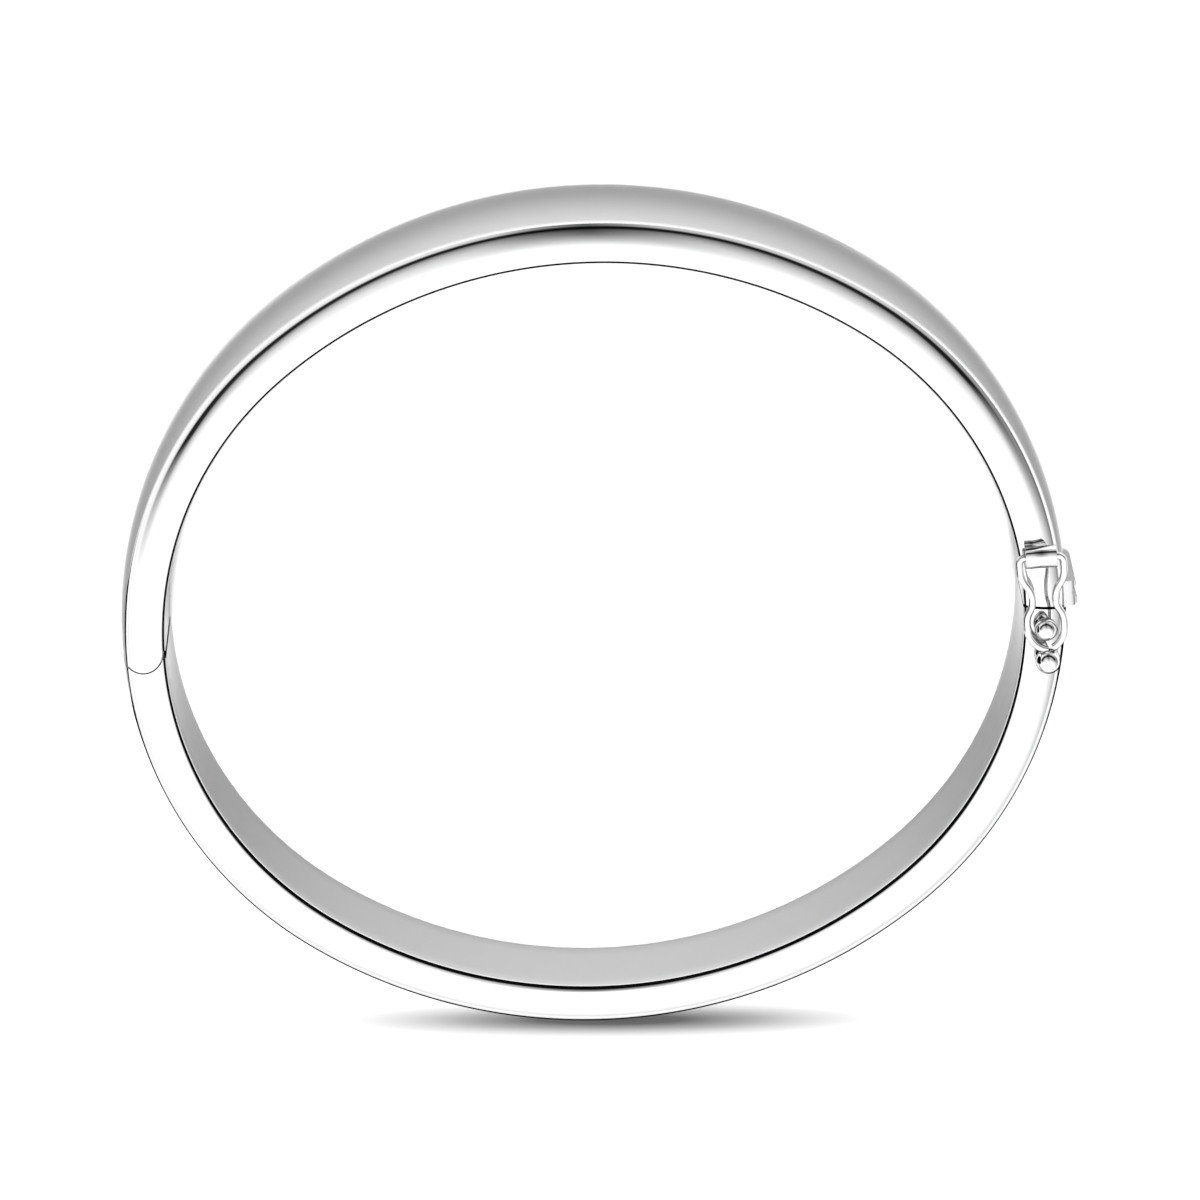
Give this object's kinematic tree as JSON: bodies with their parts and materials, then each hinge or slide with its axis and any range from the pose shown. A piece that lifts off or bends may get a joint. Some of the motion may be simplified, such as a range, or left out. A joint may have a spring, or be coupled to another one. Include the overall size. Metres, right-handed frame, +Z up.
{
  "type": "hinged bangle",
  "caption": "Oval hinged bangle in plain polished metal, with a push clasp and a figure-eight safety catch, closed and lying on its side.",
  "frame": {"origin": "the oval's centre, on the plane that the lower rim rests on", "axes": "+X towards the clasp and -X towards the hinge, +Y towards the wide front half, +Z up, out of the upper rim"},
  "size_m": [0.0671, 0.0595, 0.0127],
  "materials": {
    "polished_metal": "mirror polish"
  },
  "bodies": {
    "front": {"front_half": "polished_metal", "hinge_pin": "polished_metal"},
    "back": {"back_half": "polished_metal", "spring_leaf": "polished_metal"},
    "catch": {"figure_eight": "polished_metal"}
  },
  "joints": [
    {"name": "bangle_hinge", "type": "hinge", "parent": "front", "child": "back", "pos_m": [-0.0317, 0.00095, 0.00553], "axis": [0, 0.0319, -0.9995], "range_deg": [0, 44]},
    {"name": "catch_lift", "type": "hinge", "parent": "front", "child": "catch", "pos_m": [0.03142, 0.00282, 0.01193], "axis": [-1, 0, 0], "range_deg": [0, 120]}
  ],
  "couplings": [
    {"joint": "catch_lift", "follows": "bangle_hinge", "ratio": 2.7}
  ]
}
